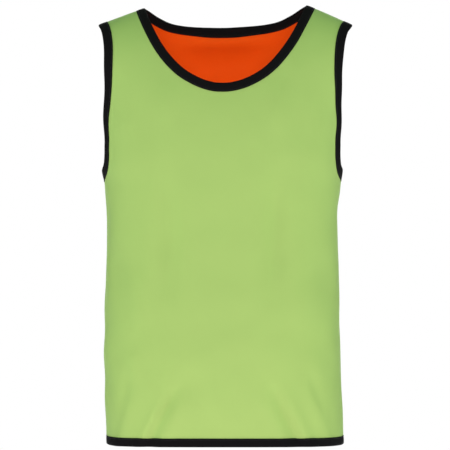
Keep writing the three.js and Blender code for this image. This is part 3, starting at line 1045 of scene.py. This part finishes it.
@dataclass
class EdgeTape:
    """A tape folded over a cut edge, with a row of stitches on either side.

    The tape is shaped at a few distances in from the cut edge, some counted from the edge and
    some from the tape's inner edge. The profile gives, for one side from the inner edge to the
    fold, the number of the distance, the drop below the outside and the reach past the edge.
    """

    pattern: Pattern
    name: str
    width: float
    clear: float = 1.35
    outside: float = 2.62
    near_edge: tuple[float, ...] = (0.0, 1.6, 4.2)
    near_inner: tuple[float, ...] = (4.4, 2.3, 0.7, 0.0)
    profile: tuple[tuple[int, float, float], ...] = (
        (6, 0.45, 0.0),
        (5, 0.12, 0.0),
        (4, 0.3, 0.0),
        (3, 0.02, 0.0),
        (2, 0.0, 0.0),
        (1, 0.1, 0.0),
        (0, 0.32, 0.15),
        (0, 0.85, 0.95),
        (0, 1.75, 1.45),
    )
    fold_reach: float = 1.6
    lining_reach: float = 0.3
    stitch: Stitch = Stitch()
    stitch_line: int = 4
    stitch_sink: float = 0.34
    foot_spread: float = 0.3
    foot_part: float = 0.16
    length: float = field(init=False, default=0.0)

    def distances(self) -> Array:
        """Distances in from the cut edge at which the tape is shaped."""
        return np.concatenate([self.near_edge, self.width - np.array(self.near_inner)])

    def strips(self, face: Face) -> Array:
        """The tape's strip on a face, by the edge that the tape is named for.

        Args:
            face: The face of the bib.

        Returns:
            An array of edge step, distance, and share and level.
        """
        if self.name.startswith("neck"):
            return self.pattern.neck_strip(face, self.distances())
        if self.name.startswith("hem"):
            return self.pattern.hem_strip(self.distances())
        strip = self.pattern.armhole_strip(face, self.distances())
        from_foot = np.linspace(0, 1, len(strip))[:, None, None]
        wider = 1 + self.foot_spread * np.exp(-((from_foot / self.foot_part) ** 2))
        strip = strip[:, :1] + (strip - strip[:, :1]) * wider
        strip[0, :, 0] = self.pattern.seam_share
        return strip if self.name.endswith("left") else strip * [-1, 1]

    def frames(self) -> tuple[Array, Array]:
        """The cloth's points and normals under the tape, all round the edge.

        Returns:
            Points and normals by step round the edge and distance in from it.
        """
        form = self.pattern.form
        points, normals = [], []
        for face in (Face.FRONT, Face.BACK):
            strip = self.strips(face)
            share, level = strip[..., 0].ravel(), strip[..., 1].ravel()
            shape = (*strip.shape[:2], 3)
            points.append(form.cloth_point(face, share, level).reshape(shape))
            normals.append(form.normal(face, share, level, folded=True).reshape(shape))
        joined_points = np.concatenate([points[0], points[1][::-1][1:-1]])
        joined_normals = np.concatenate([normals[0], normals[1][::-1][1:-1]])
        return joined_points, joined_normals

    def section(self) -> list[tuple[int, float, float]]:
        """Lists the tape's section, all round its wall.

        Returns:
            The number of the distance, the height over the cloth and the reach past the edge.
        """
        low, lining_reach = self.clear, self.lining_reach
        outer = [(len(self.distances()) - 1, low, 0.0)]
        outer += [(k, self.outside - drop, out) for k, drop, out in self.profile]
        inner = [(k, -height, out) for k, height, out in reversed(outer)]
        lining = [(3, -low, 0.0), (0, -low, lining_reach), (0, low, lining_reach), (3, low, 0.0)]
        return [*outer, (0, 0.0, self.fold_reach), *inner, *lining]

    def build(self) -> bpy.types.Object:
        """Makes the tape as one closed band.

        Returns:
            The band.
        """
        points, normals = self.frames()
        off = points[:, 0] - points[:, 2]
        off = unit(off - normals[:, 0] * np.sum(off * normals[:, 0], axis=1, keepdims=True))
        rings = [points[:, k] + normals[:, k] * h + off * out for k, h, out in self.section()]
        grid = np.stack(rings, axis=1)
        along = run_lengths(np.vstack([points[:, 2], points[:1, 2]]))
        over = run_lengths(grid[0])
        here = np.arange(len(grid) * len(over)).reshape(len(grid), len(over))
        there = np.roll(here, -1, axis=0)
        corners = [here, there, np.roll(there, -1, axis=1), np.roll(here, -1, axis=1)]
        quads = np.stack(corners, axis=2).reshape(-1, 4)
        uv = np.stack(np.meshgrid(along[:-1], over, indexing="ij"), axis=2)
        made = mesh_object(self.name, grid.reshape(-1, 3) * MM, quads, uv.reshape(-1, 2) * MM)
        face_outwards(made)
        self.length = along[-1] * MM
        return made

    def stitch_row(self, line: Array, up: Array) -> Array:
        """Lays a row of stitches over a closed line of the cloth.

        Args:
            line: The line's points.
            up: The direction out of the tape at each.

        Returns:
            The stitches' points.
        """
        line = line + up * (self.outside - self.stitch_sink)
        closed, ups = np.vstack([line, line[:1]]), np.vstack([up, up[:1]])
        lengths = run_lengths(closed)
        count = int(lengths[-1] / self.stitch.pitch)
        centre = (np.arange(count) + 0.5) * (lengths[-1] / count)
        place = at_lengths(centre, lengths, closed)
        lift = at_lengths(centre, lengths, ups)
        ahead = at_lengths(centre + 0.5, lengths, closed, period=lengths[-1])
        way = unit(ahead - place)
        return self.stitch.points(place, way, unit(np.cross(lift, way)), lift)

    def stitches(self) -> bpy.types.Object:
        """Makes the rows of stitches on both sides of the tape, as one mesh.

        Returns:
            The mesh object.
        """
        points, normals = self.frames()
        line, up = points[:, self.stitch_line], normals[:, self.stitch_line]
        verts = np.vstack([self.stitch_row(line, up), self.stitch_row(line, -up)])
        count = len(verts) // (self.stitch.rings * self.stitch.sides)
        mesh = bpy.data.meshes.new(self.name + "_stitches")
        mesh.from_pydata((verts * MM).tolist(), [], self.stitch.faces(count))
        made = link_mesh(mesh)
        face_outwards(made)
        return made


def face_outwards(piece: bpy.types.Object) -> None:
    """Turns a closed mesh's faces outwards.

    Args:
        piece: The mesh object.
    """
    bpy.ops.object.select_all(action="DESELECT")
    bpy.context.view_layer.objects.active = piece
    piece.select_set(True)
    bpy.ops.object.mode_set(mode="EDIT")
    bpy.ops.mesh.select_all(action="SELECT")
    bpy.ops.mesh.normals_make_consistent(inside=False)
    bpy.ops.object.mode_set(mode="OBJECT")
    bpy.ops.object.select_all(action="DESELECT")


class NodeTree:
    """A small help for laying out shader nodes."""

    def __init__(self, tree: bpy.types.NodeTree) -> None:
        """Keeps the tree.

        Args:
            tree: The tree that nodes are added to.
        """
        self.tree = tree

    def node(self, kind: str, **settings: object) -> bpy.types.Node:
        """Adds a node.

        Args:
            kind: The node's type.
            settings: Its properties.

        Returns:
            The node.
        """
        made = self.tree.nodes.new(kind)
        for key, value in settings.items():
            setattr(made, key, value)
        return made

    def link(self, source: Value, target: Socket) -> None:
        """Links two sockets, or sets the target to a plain value.

        Args:
            source: An output socket, a number or a tuple.
            target: An input socket.
        """
        if isinstance(source, bpy.types.NodeSocket):
            self.tree.links.new(source, target)
        else:
            target.default_value = source

    def math(self, operation: str, a: Value, b: Value = 0.0, c: Value = 0.0) -> Socket:
        """Adds a Math node.

        Args:
            operation: What it does.
            a: The first value or socket.
            b: The second.
            c: The third.

        Returns:
            Its output socket.
        """
        made = self.node("ShaderNodeMath", operation=operation)
        for value, target in zip((a, b, c), made.inputs):
            self.link(value, target)
        return made.outputs[0]

    def fade(self, value: Value, low: float, high: float, start: float, end: float) -> Socket:
        """Adds a smooth Map Range node.

        Args:
            value: The value or socket to map.
            low: Where the change begins.
            high: Where it ends.
            start: The result at the beginning.
            end: The result at the end.

        Returns:
            Its output socket.
        """
        made = self.node("ShaderNodeMapRange", interpolation_type="SMOOTHSTEP")
        for target, given in zip(made.inputs, (value, low, high, start, end)):
            self.link(given, target)
        return made.outputs[0]


def new_group(name: str, inputs: dict[str, float], outputs: list[str]) -> NodeTree:
    """Starts a shader node group.

    Args:
        name: The group's name.
        inputs: Names of its number inputs, with their usual values.
        outputs: Names of its number outputs.

    Returns:
        The group's tree.
    """
    tree = bpy.data.node_groups.new(name, "ShaderNodeTree")
    for label, usual in inputs.items():
        socket = tree.interface.new_socket(label, in_out="INPUT", socket_type="NodeSocketFloat")
        socket.default_value = usual
    for label in outputs:
        tree.interface.new_socket(label, in_out="OUTPUT", socket_type="NodeSocketFloat")
    return NodeTree(tree)


def knit_group() -> bpy.types.NodeTree:
    """Makes the knit effect: rows of small round eyelets between ribs of loops.

    Returns:
        The group. Height goes to a bump, and Eyelet is 1 inside an eyelet.
    """
    nodes = new_group("knit", {"Across": 0, "Up": 0, "Pitch": 0.00135}, ["Height", "Eyelet"])
    given = nodes.node("NodeGroupInput")
    gone = nodes.node("NodeGroupOutput")
    tall = math.sqrt(3)
    x = nodes.math("DIVIDE", given.outputs["Across"], given.outputs["Pitch"])
    y = nodes.math("DIVIDE", given.outputs["Up"], given.outputs["Pitch"])
    y = nodes.math("MULTIPLY", y, 1 / tall)
    rings = []
    for shift in (0.0, 0.5):
        cell = []
        for value, stretch in ((x, 1.0), (y, tall)):
            part = nodes.math("FRACT", nodes.math("ADD", value, shift + KNIT_SHIFT))
            part = nodes.math("MULTIPLY", nodes.math("SUBTRACT", part, 0.5), stretch)
            cell.append(nodes.math("MULTIPLY", part, part))
        rings.append(nodes.math("SQRT", nodes.math("ADD", *cell)))
    nearest = nodes.math("MINIMUM", *rings)
    eyelet = nodes.fade(nearest, *EYELET_RADII, 1.0, 0.0)
    loops = nodes.math("SINE", nodes.math("MULTIPLY", x, 4 * math.pi))
    loops = nodes.math("MULTIPLY", loops, LOOP_HEIGHT)
    height = nodes.math("SUBTRACT", loops, eyelet)
    nodes.link(height, gone.inputs["Height"])
    nodes.link(eyelet, gone.inputs["Eyelet"])
    return nodes.tree


def tone_group() -> bpy.types.NodeTree:
    """Makes the slight unevenness of dyed cloth.

    Returns:
        The group. Tone is near 1 and goes into a colour's brightness.
    """
    nodes = new_group("cloth_tone", {"Amount": 0.05}, ["Tone"])
    given = nodes.node("NodeGroupInput")
    gone = nodes.node("NodeGroupOutput")
    place = nodes.node("ShaderNodeTexCoord").outputs["Object"]
    noise = nodes.node("ShaderNodeTexNoise")
    noise.inputs["Scale"].default_value = PATCHES
    noise.inputs["Detail"].default_value = PATCH_DETAIL
    nodes.link(place, noise.inputs["Vector"])
    spread = nodes.math("SUBTRACT", noise.outputs["Fac"], 0.5)
    tone = nodes.math("MULTIPLY_ADD", spread, given.outputs["Amount"], 1.0)
    nodes.link(tone, gone.inputs["Tone"])
    return nodes.tree


def rib_group() -> bpy.types.NodeTree:
    """Makes the tape's weave: fine slanting ribs.

    Returns:
        The group. Height goes to a bump, and Valley is 1 between the ribs.
    """
    nodes = new_group("tape_weave", {"Along": 0, "Over": 0, "Pitch": 0.0011}, ["Height", "Valley"])
    given = nodes.node("NodeGroupInput")
    gone = nodes.node("NodeGroupOutput")
    x = nodes.math("DIVIDE", given.outputs["Along"], given.outputs["Pitch"])
    y = nodes.math("DIVIDE", given.outputs["Over"], given.outputs["Pitch"])
    slant = nodes.math("MULTIPLY_ADD", y, RIB_SLANT, x)
    rib = nodes.math("SINE", nodes.math("MULTIPLY", slant, 2 * math.pi))
    cross = nodes.math("SINE", nodes.math("MULTIPLY", y, 2 * math.pi))
    height = nodes.math("MULTIPLY_ADD", cross, CROSS_RIB, rib)
    valley = nodes.fade(height, *VALLEY_HEIGHTS, 1.0, 0.0)
    nodes.link(height, gone.inputs["Height"])
    nodes.link(valley, gone.inputs["Valley"])
    return nodes.tree


@dataclass(frozen=True)
class Effects:
    """The shader node groups that the finishes share."""

    knit: bpy.types.NodeTree
    tone: bpy.types.NodeTree
    rib: bpy.types.NodeTree

    @staticmethod
    def build() -> "Effects":
        """Makes the groups."""
        return Effects(knit_group(), tone_group(), rib_group())


def start_material(name: str) -> tuple[bpy.types.Material, NodeTree, bpy.types.Node]:
    """Starts a material with a Principled shader.

    Args:
        name: The material's name.

    Returns:
        The material, its tree, and the shader node.
    """
    made = bpy.data.materials.new(name)
    made.use_nodes = True
    nodes = NodeTree(made.node_tree)
    return made, nodes, made.node_tree.nodes["Principled BSDF"]


def toned_with_painted_shade(nodes: NodeTree, effects: Effects, colour: Colour, amount: float, painted_shade: Value) -> Socket:
    """A base colour made uneven at random, and darkened by painted shade in small hollows.

    Args:
        nodes: The material's tree.
        effects: The shared effects.
        colour: The cloth's colour.
        amount: How uneven it is.
        painted_shade: How much painted shade darkens each place, as a number or socket.

    Returns:
        The colour's socket.
    """
    tone = nodes.node("ShaderNodeGroup", node_tree=effects.tone)
    tone.inputs["Amount"].default_value = amount
    # Painted shade: the colour's brightness drops in the hollows
    value = nodes.math("SUBTRACT", tone.outputs["Tone"], painted_shade)
    tint = nodes.node("ShaderNodeHueSaturation")
    tint.inputs["Color"].default_value = (*colour, 1.0)
    nodes.link(value, tint.inputs["Value"])
    return tint.outputs["Color"]


def cloth_place(nodes: NodeTree, across: Socket, up: Socket) -> None:
    """Gives a weave its place on the cloth, from the UV map.

    Args:
        nodes: The material's tree.
        across: The input for the first direction of the cloth.
        up: The input for the second.
    """
    place = nodes.node("ShaderNodeUVMap", uv_map="cloth").outputs["UV"]
    split = nodes.node("ShaderNodeSeparateXYZ")
    nodes.link(place, split.inputs[0])
    nodes.link(split.outputs["X"], across)
    nodes.link(split.outputs["Y"], up)


def bumped(nodes: NodeTree, height: Socket, strength: float, depth: float) -> Socket:
    """Turns a height into a bumped normal.

    Args:
        nodes: The material's tree.
        height: The height's socket.
        strength: How strongly it counts.
        depth: The depth in metres that a height of 1 stands for.

    Returns:
        The normal's socket.
    """
    bump = nodes.node("ShaderNodeBump")
    bump.inputs["Strength"].default_value = strength
    bump.inputs["Distance"].default_value = depth
    nodes.link(height, bump.inputs["Height"])
    return bump.outputs["Normal"]


@dataclass(frozen=True)
class KnitFinish:
    """The bib's cloth: a close, light knit with small eyelets."""

    name: str
    slot: str
    colour: Colour
    roughness: float = 0.72
    sheen: float = 0.16
    sheen_tint: Colour = (0.75, 1.0, 0.5)
    gloss: float = 0.25
    sheen_roughness: float = 0.4
    unevenness: float = 0.06
    # Painted shade: how much darker the colour is made inside each eyelet
    eyelet_painted_shade: float = 0.16
    eyelet_roughness: float = 0.12
    bump_strength: float = 0.6
    bump_depth: float = 0.00016
    pitch: float = 0.00135

    def build(self, effects: Effects) -> bpy.types.Material:
        """Makes the material.

        Args:
            effects: The shared effects.

        Returns:
            The material.
        """
        made, nodes, shader = start_material(self.name)
        knit = nodes.node("ShaderNodeGroup", node_tree=effects.knit)
        knit.inputs["Pitch"].default_value = self.pitch
        cloth_place(nodes, knit.inputs["Across"], knit.inputs["Up"])
        height, eyelet = knit.outputs["Height"], knit.outputs["Eyelet"]
        # Painted shade: the base colour is darkened inside each eyelet, where shade falls in the
        # hole
        painted_shade = nodes.math("MULTIPLY", eyelet, self.eyelet_painted_shade)
        colour = toned_with_painted_shade(nodes, effects, self.colour, self.unevenness, painted_shade)
        nodes.link(colour, shader.inputs["Base Color"])
        normal = bumped(nodes, height, self.bump_strength, self.bump_depth)
        nodes.link(normal, shader.inputs["Normal"])
        rough = nodes.math("MULTIPLY_ADD", eyelet, self.eyelet_roughness, self.roughness)
        nodes.link(rough, shader.inputs["Roughness"])
        shader.inputs["Sheen Weight"].default_value = self.sheen
        shader.inputs["Sheen Roughness"].default_value = self.sheen_roughness
        shader.inputs["Sheen Tint"].default_value = (*self.sheen_tint, 1.0)
        shader.inputs["Specular IOR Level"].default_value = self.gloss
        return made


@dataclass(frozen=True)
class TapeFinish:
    """The binding: matt black woven tape."""

    name: str = "black_tape"
    slot: str = "black_tape"
    colour: Colour = (0.0042, 0.0036, 0.0044)
    roughness: float = 0.8
    sheen: float = 0.008
    gloss: float = 0.06
    unevenness: float = 0.10
    # Painted shade: how much darker the colour is made in the valleys between the ribs
    valley_painted_shade: float = 0.25
    bump_strength: float = 0.5
    bump_depth: float = 0.00012

    def build(self, effects: Effects) -> bpy.types.Material:
        """Makes the material.

        Args:
            effects: The shared effects.

        Returns:
            The material.
        """
        made, nodes, shader = start_material(self.name)
        rib = nodes.node("ShaderNodeGroup", node_tree=effects.rib)
        cloth_place(nodes, rib.inputs["Along"], rib.inputs["Over"])
        # Painted shade: the base colour is darkened in the valleys between the tape's ribs
        painted_shade = nodes.math("MULTIPLY", rib.outputs["Valley"], self.valley_painted_shade)
        colour = toned_with_painted_shade(nodes, effects, self.colour, self.unevenness, painted_shade)
        nodes.link(colour, shader.inputs["Base Color"])
        normal = bumped(nodes, rib.outputs["Height"], self.bump_strength, self.bump_depth)
        nodes.link(normal, shader.inputs["Normal"])
        shader.inputs["Roughness"].default_value = self.roughness
        shader.inputs["Sheen Weight"].default_value = self.sheen
        shader.inputs["Specular IOR Level"].default_value = self.gloss
        return made


@dataclass(frozen=True)
class ThreadFinish:
    """The sewing thread: black and a little glossier than the tape."""

    name: str = "black_thread"
    slot: str = "black_tape"
    colour: Colour = (0.006, 0.006, 0.007)
    roughness: float = 0.5
    sheen: float = 0.1
    unevenness: float = 0.3

    def build(self, effects: Effects) -> bpy.types.Material:
        """Makes the material.

        Args:
            effects: The shared effects.

        Returns:
            The material.
        """
        made, nodes, shader = start_material(self.name)
        colour = toned_with_painted_shade(nodes, effects, self.colour, self.unevenness, 0.0)
        nodes.link(colour, shader.inputs["Base Color"])
        shader.inputs["Roughness"].default_value = self.roughness
        shader.inputs["Sheen Weight"].default_value = self.sheen
        return made


@dataclass
class Bib:
    """The whole bib: two panels of two layers, and four tapes."""

    effects: Effects
    cloth: float = 1.0
    gap: float = 0.3
    panel_width: float = 0.524
    panel_length: float = 0.745
    front_area: float = 0.313
    back_area: float = 0.321
    tape_turn: float = 0.006
    lime: KnitFinish = KnitFinish("lime_knit", "lime_mesh", (0.335, 0.488, 0.130))
    orange: KnitFinish = KnitFinish(
        "orange_knit",
        "orange_mesh",
        (0.94, 0.085, 0.0010),
        sheen=0.02,
        sheen_tint=(1.0, 0.5, 0.3),
        gloss=0.1,
    )

    def build(self) -> None:
        """Makes and dresses every piece."""
        pattern = Pattern(BibForm())
        finishes = {Layer.LIME: self.lime, Layer.ORANGE: self.orange}
        materials = {layer: kind.build(self.effects) for layer, kind in finishes.items()}
        for face in Face:
            panel = Panel(pattern, face)
            for layer in Layer:
                node = f"{face.name}_{layer.name}".lower()
                made = panel.sheet(layer, node + "_cloth", self.gap, self.cloth)
                self.dress(made, materials[layer], node)
        tapes = self.tapes(pattern)

    def tapes(self, pattern: Pattern) -> list[bpy.types.Object]:
        """Makes the four tapes and their stitches.

        Args:
            pattern: The bib's pattern.

        Returns:
            The tapes.
        """
        tape_finish, thread_finish = TapeFinish(), ThreadFinish()
        tape_material = tape_finish.build(self.effects)
        thread_material = thread_finish.build(self.effects)
        made = []
        for node, width in (
            ("neck_binding", pattern.neck_width),
            ("armhole_binding_right", pattern.armhole_width),
            ("armhole_binding_left", pattern.armhole_width),
            ("hem_binding", pattern.hem_width),
        ):
            tape = EdgeTape(pattern, node.replace("binding", "tape"), width)
            band = tape.build()
            self.dress(band, tape_material, node)
            sewing = tape.stitches()
            self.dress(sewing, thread_material, None)
            made.append(band)
        return made

    def dress(
        self, piece: bpy.types.Object, material: bpy.types.Material, node: str | None
    ) -> None:
        """Gives a piece its material and its body, and hides the CAD node that it replaces.

        Args:
            piece: The piece.
            material: Its material.
            node: The CAD node that it replaces, if any.
        """
        piece.data.materials.clear()
        piece.data.materials.append(material)
        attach(piece, BODY)
        if node:
            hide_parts(node)
        log.info("%s: %d faces", piece.name, len(piece.data.polygons))


@dataclass(frozen=True)
class SoftLight:
    """A soft rectangular light of the studio."""

    name: str
    place: tuple[float, float, float]
    aim: tuple[float, float, float]
    size: tuple[float, float]
    power: float
    tint: Colour = (1.0, 1.0, 1.0)

    def build(self) -> None:
        """Sets the light up, out of the camera's sight."""
        bpy.ops.object.select_all(action="DESELECT")
        bpy.ops.object.light_add(type="AREA", location=self.place)
        lamp = bpy.context.active_object
        lamp.name = self.name
        lamp.data.shape = "RECTANGLE"
        lamp.data.size, lamp.data.size_y = self.size
        lamp.data.energy = self.power
        lamp.data.color = self.tint
        lamp.visible_camera = False
        way = Vector(self.aim) - Vector(self.place)
        lamp.rotation_euler = way.to_track_quat("-Z", "Y").to_euler()


# What most lights point at, and the tint of the two at the sides
MIDDLE = (0.0, 0.0, -0.4)
SIDE_TINT = (0.86, 1.0, 0.9)
LIGHTS = (
    SoftLight("front", (0, -4.7, 0.35), MIDDLE, (2.4, 1.0), 116, (1.0, 0.98, 0.97)),
    SoftLight("hem", (0, -0.72, -1.0), (0, -0.12, -0.72), (0.5, 0.2), 1.9, (1.0, 0.72, 0.85)),
    SoftLight("top", (0, -0.6, 2.0), (0, 0, -0.3), (2.0, 2.0), 22, (0.62, 1.0, 0.75)),
    SoftLight("side_right", (-2.6, -0.6, -0.3), MIDDLE, (1.5, 1.8), 26, SIDE_TINT),
    SoftLight("side_left", (2.6, -0.6, -0.3), MIDDLE, (1.5, 1.8), 26, SIDE_TINT),
    SoftLight("rear", (0, 3.6, 0.2), MIDDLE, (2.5, 2.0), 105),
)


@dataclass
class Studio:
    """The plain studio: floor, soft lights and the camera in front."""

    floor_z: float = -1.45
    floor_size: float = 16.0
    floor_shade: float = 0.86
    floor_roughness: float = 0.9
    floor_glow: float = 0.45
    camera_distance: float = 4.5
    camera_z: float = -0.3552
    camera_x: float = -0.0008
    view_width: float = 0.73485
    sensor_width: float = 36.0
    fill: float = 0.04
    fill_tint: Colour = (0.8, 1.0, 0.9)
    lights: tuple[SoftLight, ...] = LIGHTS

    def build(self) -> None:
        """Makes the floor, the lights and the camera."""
        self.floor()
        self.world()
        for light in self.lights:
            light.build()
        self.camera()

    def floor(self) -> None:
        """Lays a large pale floor."""
        bpy.ops.object.select_all(action="DESELECT")
        bpy.ops.mesh.primitive_plane_add(size=self.floor_size, location=(0, 0, self.floor_z))
        floor = bpy.context.active_object
        floor.name = "floor"
        made, _, shader = start_material("floor")
        shader.inputs["Base Color"].default_value = (*[self.floor_shade] * 3, 1)
        shader.inputs["Roughness"].default_value = self.floor_roughness
        shader.inputs["Emission Color"].default_value = (1, 1, 1, 1)
        shader.inputs["Emission Strength"].default_value = self.floor_glow
        floor.data.materials.append(made)

    def world(self) -> None:
        """Gives the scene a white backdrop and a dim, even light from all round."""
        world = bpy.data.worlds.new("studio")
        world.use_nodes = True
        nodes = NodeTree(world.node_tree)
        world.node_tree.nodes.clear()
        seen = nodes.node("ShaderNodeBackground")
        seen.inputs["Color"].default_value = (1, 1, 1, 1)
        lit = nodes.node("ShaderNodeBackground", name="fill")
        lit.inputs["Color"].default_value = (*self.fill_tint, 1)
        lit.inputs["Strength"].default_value = self.fill
        path = nodes.node("ShaderNodeLightPath")
        mix = nodes.node("ShaderNodeMixShader")
        gone = nodes.node("ShaderNodeOutputWorld")
        nodes.link(path.outputs["Is Camera Ray"], mix.inputs[0])
        nodes.link(lit.outputs[0], mix.inputs[1])
        nodes.link(seen.outputs[0], mix.inputs[2])
        nodes.link(mix.outputs[0], gone.inputs["Surface"])
        bpy.context.scene.world = world

    def camera(self) -> None:
        """Puts the camera straight in front, level with the middle of the bib."""
        data = bpy.data.cameras.new("camera")
        data.sensor_width = self.sensor_width
        data.lens = self.sensor_width * self.camera_distance / self.view_width
        camera = bpy.data.objects.new("camera", data)
        camera.location = (self.camera_x, -self.camera_distance, self.camera_z)
        camera.rotation_euler = (math.pi / 2, 0, 0)
        bpy.context.scene.collection.objects.link(camera)
        bpy.context.scene.camera = camera
        bpy.context.scene.view_settings.view_transform = "Standard"


def main() -> None:
    """Builds the bib and the studio."""
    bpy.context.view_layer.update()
    logging.basicConfig(level=logging.INFO, format="%(name)s: %(message)s")
    bpy.ops.object.select_all(action="DESELECT")
    Studio().build()
    Bib(Effects.build()).build()
    bpy.context.view_layer.update()


if __name__ == "__main__":
    main()
